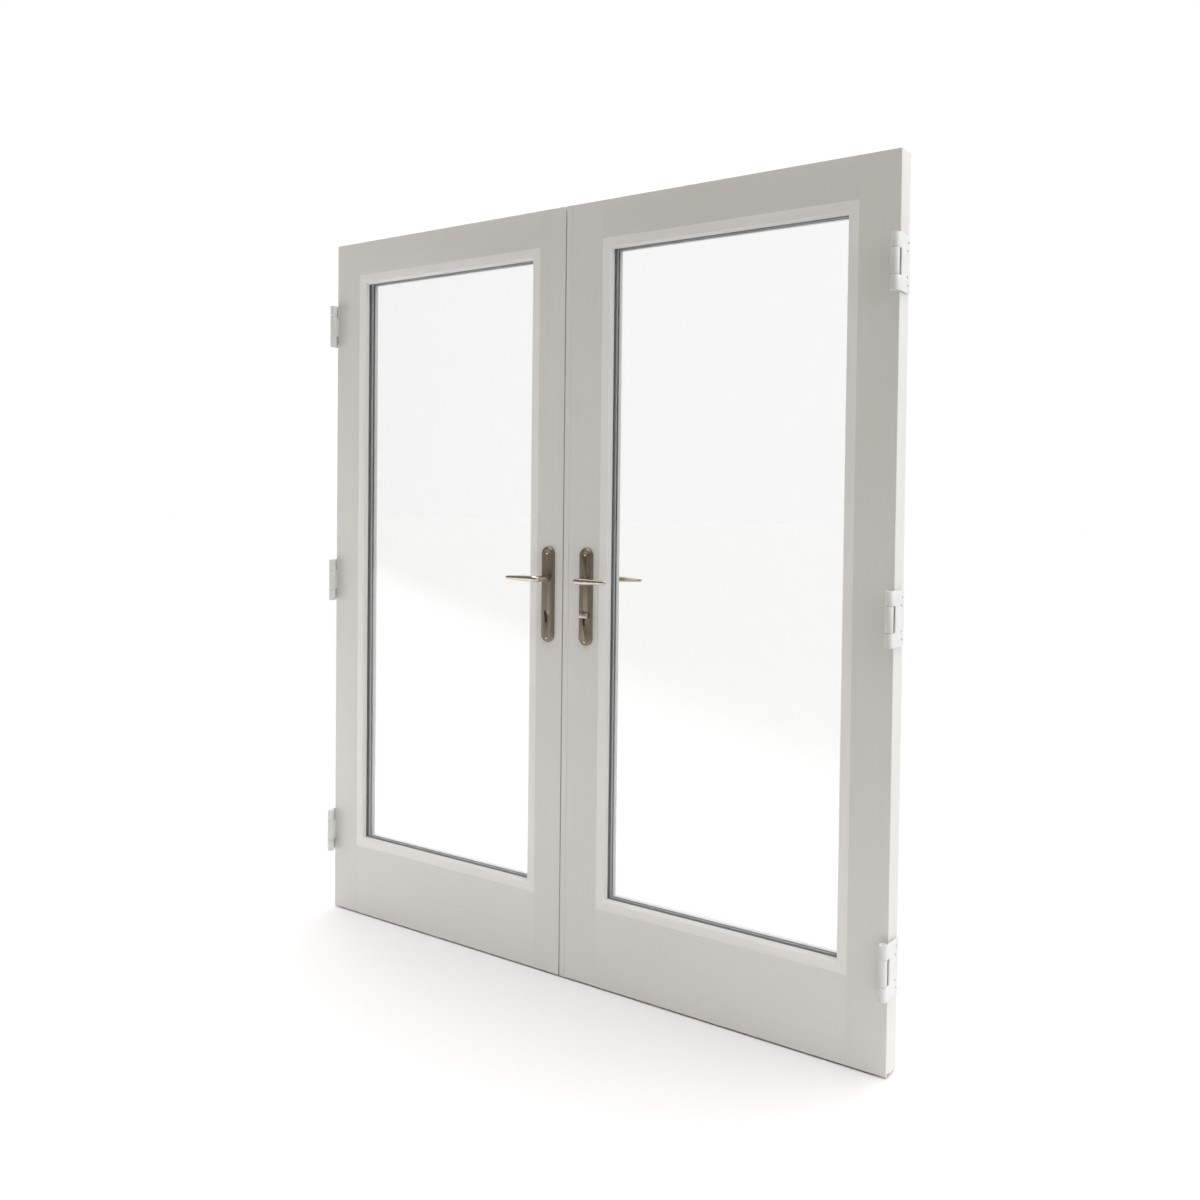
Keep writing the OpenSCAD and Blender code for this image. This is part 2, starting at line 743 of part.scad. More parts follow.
module faceplate(side) {
    color([0.75, 0.75, 0.73]) difference() {
        block([bar_u(side), bar_u(side) + faceplate_t], [-faceplate_w / 2, faceplate_w / 2],
            [faceplate_z0, faceplate_z1]);
        for (z = faceplate_screw_zs)
            countersink(bar_u(side), 1, 0, z, faceplate_t, door_screw_hole_r);
        if (side == LEFT) {
            keep_pockets(edge_u(LEFT) - past);
        } else {
            middle_bolt_shape(slack, bolt_throw);
            round_bolt_shapes(slack, bolt_throw);
        }
    }
}

// The drive rail slides up behind the flat bar, and its slots clear the bolts
module drive_rail() {
    u0 = bar_u(RIGHT) + faceplate_t + slack;
    color([0.72, 0.72, 0.7]) difference() {
        block([u0, u0 + rail_t], [-rail_w / 2, rail_w / 2], [rail_z0, rail_z1]);
        for (z = bolt_zs) {
            h = z == middle_bolt_z ? middle_bolt_h : bolt_t;
            block([u0 - past, u0 + rail_t + past], [-bolt_t / 2 - slack, bolt_t / 2 + slack],
                [z - h / 2 - slack - bolt_throw, z + h / 2 + slack]);
        }
    }
}

// The bolts at rest, drawn back into the right leaf. The first value grows them all round and the
// second lets them run on towards the joint.
module middle_bolt_shape(grow, ahead) {
    u0 = bar_u(RIGHT) + slack;
    block([u0 - ahead, u0 + bolt_len + grow], [-bolt_t / 2 - grow, bolt_t / 2 + grow],
        [middle_bolt_z - middle_bolt_h / 2 - grow, middle_bolt_z + middle_bolt_h / 2 + grow]);
}

module round_bolt_shapes(grow, ahead) {
    u0 = bar_u(RIGHT) + slack;
    for (z = [lower_bolt_z, upper_bolt_z])
        bore_u(bolt_t / 2 + grow, u0 - ahead, u0 + bolt_len + grow, 0, z);
}

module middle_bolt() {
    color([0.8, 0.8, 0.78]) middle_bolt_shape(0, 0);
}

module round_bolts() {
    color([0.8, 0.8, 0.78]) round_bolt_shapes(0, 0);
}

module top_rod() {
    z0 = spindle_z + case_up - rod_in_case;
    color([0.8, 0.8, 0.78]) translate([rod_u, 0, z0]) cylinder(r = rod_r, h = door_h - rod_end_slack - z0);
}

module bottom_rod() {
    z1 = spindle_z - case_down + rod_in_case;
    color([0.8, 0.8, 0.78]) translate([rod_u, 0, rod_end_slack])
        cylinder(r = rod_r, h = z1 - rod_end_slack);
}

on_side(LEFT) hinge_stile();  // left_hinge_stile
on_side(LEFT) meeting_stile(LEFT);  // left_meeting_stile
on_side(LEFT) top_rail();  // left_top_rail
on_side(LEFT) bottom_rail();  // left_bottom_rail
on_side(LEFT) hinge_side_bead();  // left_hinge_side_bead
on_side(LEFT) meeting_side_bead();  // left_meeting_side_bead
on_side(LEFT) level_bead(rebate_z1, -1);  // left_top_bead
on_side(LEFT) level_bead(rebate_z0, 1);  // left_bottom_bead
on_side(LEFT) front_pane();  // left_front_pane
on_side(LEFT) back_pane();  // left_back_pane
on_side(LEFT) spacer();  // left_spacer
on_side(LEFT) gaskets();  // left_gaskets
on_side(LEFT) door_hinge_leaves();  // left_door_hinge_leaves
on_side(LEFT) frame_hinge_leaves();  // left_frame_hinge_leaves
on_side(LEFT) hinge_pins();  // left_hinge_pins
on_side(LEFT) wood_screws(LEFT);  // left_wood_screws
on_side(LEFT) handle_plate(-1);  // left_front_plate
on_side(LEFT) handle_plate(1);  // left_back_plate
on_side(LEFT) plate_screws();  // left_plate_screws
on_side(LEFT) lever(-1);  // left_front_lever
on_side(LEFT) lever(1);  // left_back_lever
on_side(LEFT) spindle();  // left_spindle
on_side(LEFT) lock_case(LEFT);  // left_lock_case
on_side(LEFT) faceplate(LEFT);  // left_faceplate
on_side(LEFT) key_cylinder(LEFT);  // left_key_cylinder
on_side(LEFT) top_rod();  // left_top_rod
on_side(LEFT) bottom_rod();  // left_bottom_rod
on_side(RIGHT) hinge_stile();  // right_hinge_stile
on_side(RIGHT) meeting_stile(RIGHT);  // right_meeting_stile
on_side(RIGHT) top_rail();  // right_top_rail
on_side(RIGHT) bottom_rail();  // right_bottom_rail
on_side(RIGHT) hinge_side_bead();  // right_hinge_side_bead
on_side(RIGHT) meeting_side_bead();  // right_meeting_side_bead
on_side(RIGHT) level_bead(rebate_z1, -1);  // right_top_bead
on_side(RIGHT) level_bead(rebate_z0, 1);  // right_bottom_bead
on_side(RIGHT) front_pane();  // right_front_pane
on_side(RIGHT) back_pane();  // right_back_pane
on_side(RIGHT) spacer();  // right_spacer
on_side(RIGHT) gaskets();  // right_gaskets
on_side(RIGHT) door_hinge_leaves();  // right_door_hinge_leaves
on_side(RIGHT) frame_hinge_leaves();  // right_frame_hinge_leaves
on_side(RIGHT) hinge_pins();  // right_hinge_pins
on_side(RIGHT) wood_screws(RIGHT);  // right_wood_screws
on_side(RIGHT) handle_plate(-1);  // right_front_plate
on_side(RIGHT) handle_plate(1);  // right_back_plate
on_side(RIGHT) plate_screws();  // right_plate_screws
on_side(RIGHT) lever(-1);  // right_front_lever
on_side(RIGHT) lever(1);  // right_back_lever
on_side(RIGHT) spindle();  // right_spindle
on_side(RIGHT) lock_case(RIGHT);  // right_lock_case
on_side(RIGHT) bolt_cases();  // right_bolt_cases
on_side(RIGHT) faceplate(RIGHT);  // right_faceplate
on_side(RIGHT) key_cylinder(RIGHT);  // right_key_cylinder
on_side(RIGHT) thumb_turn();  // right_thumb_turn
on_side(RIGHT) meeting_bead();  // right_meeting_bead
on_side(RIGHT) middle_bolt();  // right_middle_bolt
on_side(RIGHT) round_bolts();  // right_round_bolts
on_side(RIGHT) drive_rail();  // right_drive_rail
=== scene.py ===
"""Looks of a pair of glazed timber doors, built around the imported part.

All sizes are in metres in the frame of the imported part: +Z is up, -Y is the side with the hinge
knuckles, and the origin is on the floor under the middle of the pair.
"""

import logging
import math
from collections.abc import Callable, Iterable
from dataclasses import dataclass
from enum import Enum

import bmesh
import bpy
from mathutils import Matrix, Vector


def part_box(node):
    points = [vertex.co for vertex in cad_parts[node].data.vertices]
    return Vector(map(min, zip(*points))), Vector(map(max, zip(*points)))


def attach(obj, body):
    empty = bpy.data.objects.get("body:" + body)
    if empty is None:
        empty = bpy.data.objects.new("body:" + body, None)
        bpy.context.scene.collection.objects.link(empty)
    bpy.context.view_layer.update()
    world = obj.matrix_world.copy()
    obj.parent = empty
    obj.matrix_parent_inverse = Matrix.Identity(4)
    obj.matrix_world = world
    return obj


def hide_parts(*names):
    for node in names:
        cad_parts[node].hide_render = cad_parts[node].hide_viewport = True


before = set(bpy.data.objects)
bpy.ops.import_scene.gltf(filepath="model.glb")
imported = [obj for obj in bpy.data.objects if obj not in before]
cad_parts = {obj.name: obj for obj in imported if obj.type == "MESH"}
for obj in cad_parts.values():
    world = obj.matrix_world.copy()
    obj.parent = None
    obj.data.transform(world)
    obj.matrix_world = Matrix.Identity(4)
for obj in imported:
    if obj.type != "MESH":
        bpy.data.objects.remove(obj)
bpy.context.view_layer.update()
MM = 0.001
NEAR = 0.1 * MM  # closer than this, a point counts as lying in a plane
TOUCHING = 0.01 * MM  # the same, for faces that only just meet
STILE_LOW, STILE_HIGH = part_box("right_hinge_stile")
SPACER_LOW, SPACER_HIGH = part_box("right_spacer")
Triple = tuple[float, float, float]
Ring = tuple[Vector, Vector, float, float]
Rule = Callable[[bmesh.types.BMEdge], bool]
log = logging.getLogger("doors")


class Side(Enum):
    """The two leaves of the pair, with the sign of X of each."""

    LEFT = -1
    RIGHT = 1

    @property
    def word(self) -> str:
        """The side's name as the nodes spell it."""
        return self.name.lower()

    @property
    def leaf(self) -> str:
        """The body that this side's leaf belongs to."""
        return f"{self.word}_leaf"


class Face(Enum):
    """The two faces of a leaf, with the sign of Y of each."""

    FRONT = -1
    BACK = 1

    @property
    def word(self) -> str:
        """The face's name as the nodes spell it."""
        return self.name.lower()


class Grain(Enum):
    """The way the brush strokes or the grinding lines run, as noise scales per axis."""

    UPRIGHT = (1.0, 1.0, 0.02)
    LEVEL = (0.02, 1.0, 1.0)


# ---------------------------------------------------------------- finishes


class Surface:
    """A procedural material while it is put together on the Principled shader."""

    def __init__(self, name: str) -> None:
        """Starts the material.

        Args:
            name: The name of the material.
        """
        self.material = bpy.data.materials.new(name)
        self.material.use_nodes = True
        self.tree = self.material.node_tree
        self.shader = self.tree.nodes["Principled BSDF"]
        self.place = self.tree.nodes.new("ShaderNodeTexCoord").outputs["Object"]

    def fix(self, **values: object) -> None:
        """Sets sockets of the shader to one value each, such as Coat_Weight=0.2."""
        for name, value in values.items():
            self.shader.inputs[name.replace("_", " ")].default_value = value

    def join(self, output: bpy.types.NodeSocket, name: str) -> None:
        """Links an output to a socket of the shader."""
        self.tree.links.new(output, self.shader.inputs[name])

    def noise(self, scale: Triple, detail: float = 3.0,
              rough: float = 0.55) -> bpy.types.NodeSocket:
        """Adds a noise texture on Object coordinates.

        Args:
            scale: Cycles of the noise per metre, along each axis.
            detail: The number of octaves.
            rough: How strong the finer octaves are.

        Returns:
            The noise, from 0 to 1.
        """
        mapping = self.tree.nodes.new("ShaderNodeMapping")
        mapping.inputs["Scale"].default_value = scale
        self.tree.links.new(self.place, mapping.inputs["Vector"])
        texture = self.tree.nodes.new("ShaderNodeTexNoise")
        texture.inputs["Scale"].default_value = 1.0
        texture.inputs["Detail"].default_value = detail
        texture.inputs["Roughness"].default_value = rough
        self.tree.links.new(mapping.outputs["Vector"], texture.inputs["Vector"])
        return texture.outputs["Fac"]

    def span(self, factor: bpy.types.NodeSocket, low: float, high: float,
             start: float = 0.3, stop: float = 0.7) -> bpy.types.NodeSocket:
        """Maps a factor from start..stop to low..high.

        Args:
            factor: The value to map.
            low: The result at start.
            high: The result at stop.
            start: The factor that gives low.
            stop: The factor that gives high.

        Returns:
            The mapped value, held between low and high.
        """
        node = self.tree.nodes.new("ShaderNodeMapRange")
        for name, value in (("From Min", start), ("From Max", stop), ("To Min", low),
                            ("To Max", high)):
            node.inputs[name].default_value = value
        self.tree.links.new(factor, node.inputs["Value"])
        return node.outputs["Result"]

    def blend(self, factor: bpy.types.NodeSocket, first: tuple | bpy.types.NodeSocket,
              second: tuple | bpy.types.NodeSocket) -> bpy.types.NodeSocket:
        """Mixes two colours.

        Args:
            factor: 0 gives the first colour and 1 the second.
            first: A colour, or a socket that carries one.
            second: A colour, or a socket that carries one.

        Returns:
            The mixed colour.
        """
        node = self.tree.nodes.new("ShaderNodeMix")
        node.data_type = "RGBA"
        self.tree.links.new(factor, node.inputs["Factor"])
        for name, colour in (("A", first), ("B", second)):
            socket = next(s for s in node.inputs if s.name == name and s.type == "RGBA")
            if isinstance(colour, tuple):
                socket.default_value = (*colour, 1.0)
            else:
                self.tree.links.new(colour, socket)
        return next(s for s in node.outputs if s.type == "RGBA")

    def depth(self) -> bpy.types.NodeSocket:
        """The Y of the Object coordinates, in metres.

        Returns:
            The socket that carries it.
        """
        split = self.tree.nodes.new("ShaderNodeSeparateXYZ")
        self.tree.links.new(self.place, split.inputs[0])
        return split.outputs["Y"]

    def bump(self, heights: Iterable[tuple[bpy.types.NodeSocket, float, float]]) -> None:
        """Chains bumps into the shader's normal.

        Args:
            heights: Height socket, strength and depth in metres of each bump.
        """
        last = None
        for height, strength, depth in heights:
            node = self.tree.nodes.new("ShaderNodeBump")
            node.inputs["Strength"].default_value = strength
            node.inputs["Distance"].default_value = depth
            self.tree.links.new(height, node.inputs["Height"])
            if last is not None:
                self.tree.links.new(last, node.inputs["Normal"])
            last = node.outputs["Normal"]
        if last is not None:
            self.join(last, "Normal")


@dataclass(frozen=True)
class Paint:
    """Satin white paint on planed timber, laid off along the grain."""

    grain: Grain
    name: str = "white_paint"
    pale: Triple = (0.80, 0.79, 0.77)
    dull: Triple = (0.77, 0.758, 0.735)
    roughness: float = 0.42
    strokes: float = 420.0
    drifts: float = 60.0
    worn_share: float = 0.89

    def build(self) -> bpy.types.Material:
        """Makes the material.

        Returns:
            The finished material.
        """
        surface = Surface(f"{self.name}_{self.grain.name.lower()}")
        along = tuple(self.strokes * share for share in self.grain.value)
        streaks = surface.noise(along, detail=4.0)
        wide = surface.noise(tuple(self.drifts * share for share in self.grain.value), detail=2.0)
        clouds = surface.noise((2.2, 2.2, 2.2), detail=2.0)
        stipple = surface.noise((1500.0, 1500.0, 1500.0), detail=1.0)
        tone = surface.blend(surface.span(clouds, 0.0, 1.0), self.dull, self.pale)
        worn = tuple(share * self.worn_share for share in self.dull)
        shade = surface.blend(surface.span(streaks, 0.0, 0.16), tone, worn)
        surface.join(surface.blend(surface.span(wide, 0.0, 0.10), shade, worn), "Base Color")
        surface.join(surface.span(streaks, self.roughness - 0.05, self.roughness + 0.08),
                     "Roughness")
        surface.fix(IOR=1.48)
        surface.bump([(wide, 0.10, 0.0008), (streaks, 0.12, 0.0003), (stipple, 0.05, 0.0001)])
        return surface.material


@dataclass(frozen=True)
class CoatedSteel:
    """White powder coat on the pressed steel hinges."""

    colour: Triple = (0.79, 0.79, 0.78)
    shade: Triple = (0.74, 0.74, 0.725)

    def build(self) -> bpy.types.Material:
        """Makes the material.

        Returns:
            The finished material.
        """
        surface = Surface("white_powder_coat")
        clouds = surface.noise((25.0, 25.0, 25.0), detail=2.0)
        peel = surface.noise((900.0, 900.0, 900.0), detail=2.0)
        surface.join(surface.blend(surface.span(clouds, 0.0, 1.0), self.shade, self.colour),
                     "Base Color")
        surface.join(surface.span(peel, 0.30, 0.42), "Roughness")
        surface.fix(Coat_Weight=0.25, Coat_Roughness=0.12)
        surface.bump([(peel, 0.15, 0.0002)])
        return surface.material


@dataclass(frozen=True)
class Metal:
    """A ground or plated metal, with fine lines that run one way."""

    name: str
    bright: Triple
    dark: Triple
    grain: Grain
    roughness: float
    lines: float = 2600.0
    depth: float = 0.00006

    def build(self) -> bpy.types.Material:
        """Makes the material.

        Returns:
            The finished material.
        """
        surface = Surface(self.name)
        lines = surface.noise(tuple(self.lines * share for share in self.grain.value), detail=3.0)
        clouds = surface.noise((40.0, 40.0, 40.0), detail=3.0)
        tone = surface.blend(surface.span(lines, 0.0, 1.0), self.dark, self.bright)
        surface.join(surface.blend(surface.span(clouds, 0.0, 0.35), tone, self.dark), "Base Color")
        surface.join(surface.span(lines, self.roughness, self.roughness + 0.12), "Roughness")
        surface.fix(Metallic=1.0)
        surface.bump([(lines, 0.25, self.depth)])
        return surface.material


@dataclass(frozen=True)
class FloatGlass:
    """Clear float glass, with the faintest green."""

    tint: Triple = (0.990, 0.998, 0.995)
    clear: Triple = (0.994, 1.0, 0.997)

    def build(self) -> bpy.types.Material:
        """Makes the material.

        Returns:
            The finished material.
        """
        surface = Surface("float_glass")
        waves = surface.noise((5.0, 5.0, 1.2), detail=1.0)
        film = surface.noise((18.0, 18.0, 18.0), detail=2.0)
        surface.join(surface.blend(surface.span(film, 0.0, 1.0), self.tint, self.clear),
                     "Base Color")
        surface.join(surface.span(film, 0.0, 0.012), "Roughness")
        surface.fix(Transmission_Weight=1.0, IOR=1.45)
        surface.bump([(waves, 0.02, 0.0004)])
        return surface.material


@dataclass(frozen=True)
class Polymer:
    """Rubber or plastic with a slight bloom."""

    name: str
    colour: Triple
    bloom: Triple
    roughness: float = 0.6
    pores: float = 700.0

    def build(self) -> bpy.types.Material:
        """Makes the material.

        Returns:
            The finished material.
        """
        surface = Surface(self.name)
        pores = surface.noise((self.pores, self.pores, self.pores), detail=2.0)
        clouds = surface.noise((30.0, 30.0, 30.0), detail=2.0)
        surface.join(surface.blend(surface.span(clouds, 0.0, 1.0), self.colour, self.bloom),
                     "Base Color")
        surface.join(surface.span(pores, self.roughness - 0.08, self.roughness + 0.08),
                     "Roughness")
        surface.bump([(pores, 0.2, 0.0001)])
        return surface.material


@dataclass(frozen=True)
class SpacerBar:
    """Dark grey-green spacer, with the pale seal along each pane and painted light that makes it
    paler towards the back.
    """

    seal: Triple = (0.56, 0.64, 0.60)
    bar: Triple = (0.085, 0.115, 0.105)
    # The colour of the painted light towards the back pane.
    lit: Triple = (0.66, 0.70, 0.68)
    half_depth: float = 6 * MM
    seal_depth: float = 0.45 * MM
    seal_fade: float = 0.1 * MM

    def build(self) -> bpy.types.Material:
        """Makes the material.

        Returns:
            The finished material.
        """
        surface = Surface("spacer_bar")
        across = surface.depth()
        pores = surface.noise((600.0, 600.0, 600.0), detail=2.0)
        edge = self.half_depth - self.seal_depth
        bar = surface.blend(surface.span(pores, 0.0, 1.0), self.bar,
                            tuple(share * 1.35 for share in self.bar))
        # Painted light: the bar turns paler towards the back pane, as if lit from behind.
        bar = surface.blend(surface.span(across, 0.0, 1.0, -0.7 * edge, 0.2 * edge), bar,
                            self.lit)
        near = surface.span(across, 1.0, 0.0, -edge - self.seal_fade, -edge)
        far = surface.span(across, 0.0, 1.0, edge, edge + self.seal_fade)
        surface.join(surface.blend(far, surface.blend(near, bar, self.seal), self.seal),
                     "Base Color")
        surface.join(surface.span(pores, 0.42, 0.58), "Roughness")
        surface.bump([(pores, 0.15, 0.0001)])
        return surface.material


class Finishes:
    """Every material of the pair, made once."""

    def __init__(self) -> None:
        """Builds all the materials."""
        # The beads take a brighter copy of the white paint: painted light in place of the light on
        # their sloped faces by the glass.
        bead = ((0.93, 0.925, 0.905), (0.90, 0.89, 0.87))
        # The plate nickel is the darker one. The lever collars take it too, as painted shade.
        nickel = ((0.345, 0.30, 0.24), (0.225, 0.19, 0.148))
        zinc = ((0.74, 0.745, 0.75), (0.60, 0.605, 0.61))
        self.paint_upright = Paint(Grain.UPRIGHT).build()
        self.paint_level = Paint(Grain.LEVEL).build()
        # Brighter bead paint, which is painted light on the bead slopes.
        self.bead_upright_painted_light = Paint(Grain.UPRIGHT, "bead_paint_painted_light", *bead).build()
        self.bead_level_painted_light = Paint(Grain.LEVEL, "bead_paint_painted_light", *bead).build()
        self.coated_steel = CoatedSteel().build()
        self.plate_nickel = Metal("satin_nickel_upright", *nickel, Grain.UPRIGHT, 0.36).build()
        self.lever_nickel = Metal("satin_nickel_level", (0.72, 0.68, 0.62), (0.58, 0.54, 0.48),
                                  Grain.LEVEL, 0.20).build()
        self.zinc = Metal("bright_zinc", *zinc, Grain.UPRIGHT, 0.30, lines=900.0).build()
        self.glass = FloatGlass().build()
        self.gasket = Polymer("glazing_gasket", (0.25, 0.262, 0.253), (0.31, 0.322, 0.313)).build()
        self.spacer = SpacerBar().build()


# ---------------------------------------------------------------- meshes


def straight(edge: bmesh.types.BMEdge, shortest: float = 3 * MM) -> bool:
    """True for an edge that is long enough to be no part of a hole's rim."""
    return edge.calc_length() > shortest


def sharp(edge: bmesh.types.BMEdge, degrees: float = 30.0) -> bool:
    """True where two faces meet at more than this angle."""
    return edge.is_manifold and edge.calc_face_angle(0.0) > math.radians(degrees)


def middle(edge: bmesh.types.BMEdge) -> Vector:
    """The middle of an edge."""
    return (edge.verts[0].co + edge.verts[1].co) / 2


def soften(bm: bmesh.types.BMesh, edges: Iterable[bmesh.types.BMEdge], width: float,
           segments: int = 2) -> None:
    """Rounds edges of a mesh.

    Args:
        bm: The mesh.
        edges: The edges to round.
        width: How far the rounding reaches on each side.
        segments: The number of faces across the rounding.
    """
    chosen = [edge for edge in edges if edge.is_valid]
    if chosen:
        bmesh.ops.bevel(bm, geom=chosen, offset=width, offset_type="OFFSET", segments=segments,
                        profile=0.5, affect="EDGES", clamp_overlap=False, material=-1)


def shape_object(name: str, bm: bmesh.types.BMesh, crease: float = 32.0) -> bpy.types.Object:
    """Turns a finished bmesh into an object at the origin.

    Args:
        name: The name of the object.
        bm: The mesh, which is freed.
        crease: The angle in degrees past which an edge stays sharp.

    Returns:
        The new object, linked to the scene.
    """
    mesh = bpy.data.meshes.new(name)
    bm.to_mesh(mesh)
    bm.free()
    mesh.polygons.foreach_set("use_smooth", [True] * len(mesh.polygons))
    mesh.set_sharp_from_angle(angle=math.radians(crease))
    made = bpy.data.objects.new(name, mesh)
    bpy.context.scene.collection.objects.link(made)
    return made


def dress(piece: bpy.types.Object, material: bpy.types.Material, body: str,
          stands_for: Iterable[str] = ()) -> bpy.types.Object:
    """Gives a piece its material and its body, and hides the nodes that it stands for.

    Args:
        piece: The object.
        material: Its only material.
        body: The body that it moves with.
        stands_for: The nodes that it replaces.

    Returns:
        The same object.
    """
    piece.data.materials.clear()
    piece.data.materials.append(material)
    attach(piece, body)
    if stands_for:
        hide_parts(*stands_for)
    log.info("%s rides on %s", piece.name, body)
    return piece


def whole_faces(node: str) -> bmesh.types.BMesh:
    """Copies a node's mesh, merges its vertices and joins the triangles of each flat face.

    Args:
        node: The name of the node.

    Returns:
        A bmesh that the caller frees.
    """
    bm = bmesh.new()
    bm.from_mesh(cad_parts[node].data)
    bmesh.ops.remove_doubles(bm, verts=bm.verts[:], dist=2e-6)
    bmesh.ops.dissolve_limit(bm, angle_limit=math.radians(0.4), use_dissolve_boundaries=False,
                             verts=bm.verts[:], edges=bm.edges[:])
    return bm


def edged_copy(node: str, name: str,
               passes: Iterable[tuple[Rule, float, int]]) -> bpy.types.Object:
    """A copy of a node with rounded edges.

    Args:
        node: The name of the node.
        name: The name of the new object.
        passes: For each pass, a rule that picks edges, the width and the segments.

    Returns:
        The new object, not yet dressed.
    """
    bm = whole_faces(node)
    for rule, width, segments in passes:
        soften(bm, [edge for edge in bm.edges if sharp(edge) and rule(edge)], width, segments)
    return shape_object(name, bm)


def tube(bm: bmesh.types.BMesh, stations: list[Ring], sides: int = 32) -> None:
    """Adds a closed tube through rings, to be used for bars, necks and grips.

    Args:
        bm: The mesh that it is added to.
        stations: Centre, direction, radius across and radius upwards of each ring.
        sides: The number of sides of each ring.
    """
    rings = []
    for centre, direction, across, upwards in stations:
        ahead = direction.normalized()
        up = Vector((0.0, 0.0, 1.0)) if abs(ahead.z) < 0.9 else Vector((1.0, 0.0, 0.0))
        right = ahead.cross(up).normalized()
        up = right.cross(ahead).normalized()
        turn = Matrix((right, up, ahead)).transposed().to_4x4()
        grow = Matrix.Diagonal((across, upwards, 1.0, 1.0))
        made = bmesh.ops.create_circle(bm, cap_ends=False, segments=sides, radius=1.0,
                                       matrix=Matrix.Translation(centre) @ turn @ grow)
        rings.append(made["verts"])
    for low, high in zip(rings, rings[1:]):
        loop = {edge for vert in (*low, *high) for edge in vert.link_edges
                if len(edge.link_faces) < 2 and edge.other_vert(vert) in set(low) | set(high)}
        ring_edges = [edge for edge in loop
                      if set(edge.verts) <= set(low) or set(edge.verts) <= set(high)]
        bmesh.ops.bridge_loops(bm, edges=ring_edges)
    for ring in (rings[0], rings[-1]):
        bmesh.ops.contextual_create(bm, geom=ring)
    bmesh.ops.recalc_face_normals(bm, faces=bm.faces[:])


def slab(bm: bmesh.types.BMesh, low: Vector, high: Vector, width: float,
         segments: int = 3) -> None:
    """Adds a block with rounded edges.

    Args:
        bm: The mesh that it is added to.
        low: The lowest corner.
        high: The highest corner.
        width: The width of the rounding.
        segments: The number of faces across the rounding.
    """
    size = high - low
    place = Matrix.Translation((low + high) / 2) @ Matrix.Diagonal((*size, 1.0))
    made = bmesh.ops.create_cube(bm, size=1.0, matrix=place)
    edges = {edge for vert in made["verts"] for edge in vert.link_edges}
    soften(bm, edges, width, segments)


def screw_head(bm: bmesh.types.BMesh, centre: Vector, out: Vector, radius: float,
               dome: float, shank: float) -> None:
    """Adds a countersunk screw with a cross recess in its slightly raised head.

    Args:
        bm: The mesh that it is added to.
        centre: The middle of the head, in the plane of the metal around it.
        out: The way the head faces.
        radius: The radius of the head.
        dome: How far the head stands proud.
        shank: The length of the screw below the head.
    """
    turn = out.to_track_quat("Z", "Y").to_matrix().to_4x4()
    place = Matrix.Translation(centre) @ turn
    grid = bmesh.ops.create_grid(bm, x_segments=3, y_segments=3, size=radius * 0.5)["verts"]
    arm, reach = radius * 0.13, radius * 0.5
    for vert in grid:
        vert.co.x = math.copysign(reach if abs(vert.co.x) > reach * 0.6 else arm, vert.co.x)
        vert.co.y = math.copysign(reach if abs(vert.co.y) > reach * 0.6 else arm, vert.co.y)
        vert.co.z = dome
    faces = {face for vert in grid for face in vert.link_faces}
    cross = [face for face in faces
             if min(abs(face.calc_center_median().x), abs(face.calc_center_median().y)) < arm / 2]
    rim = [edge for edge in {e for v in grid for e in v.link_edges} if edge.is_boundary]
    sunk = bmesh.ops.extrude_face_region(bm, geom=cross)
    pit = [item for item in sunk["geom"] if isinstance(item, bmesh.types.BMVert)]
    bmesh.ops.delete(bm, geom=cross, context="FACES_ONLY")
    bmesh.ops.translate(bm, verts=pit, vec=(0.0, 0.0, -radius * 0.35 - dome))
    made = list(grid) + pit
    last = rim
    for ring_radius, depth in ((radius * 0.78, dome * 0.8), (radius * 0.96, dome * 0.25),
                               (radius, -0.02 * MM), (radius * 0.45, -radius * 0.5),
                               (radius * 0.43, -shank)):
        ring = bmesh.ops.create_circle(bm, cap_ends=False, segments=24, radius=ring_radius,
                                       matrix=Matrix.Translation((0.0, 0.0, depth)))["verts"]
        edges = list({edge for vert in ring for edge in vert.link_edges})
        bmesh.ops.bridge_loops(bm, edges=[e for e in last if e.is_valid] + edges)
        made += ring
        last = edges
    bmesh.ops.contextual_create(bm, geom=ring)
    bmesh.ops.transform(bm, matrix=place, verts=[vert for vert in made if vert.is_valid])


# ---------------------------------------------------------------- sub-assemblies


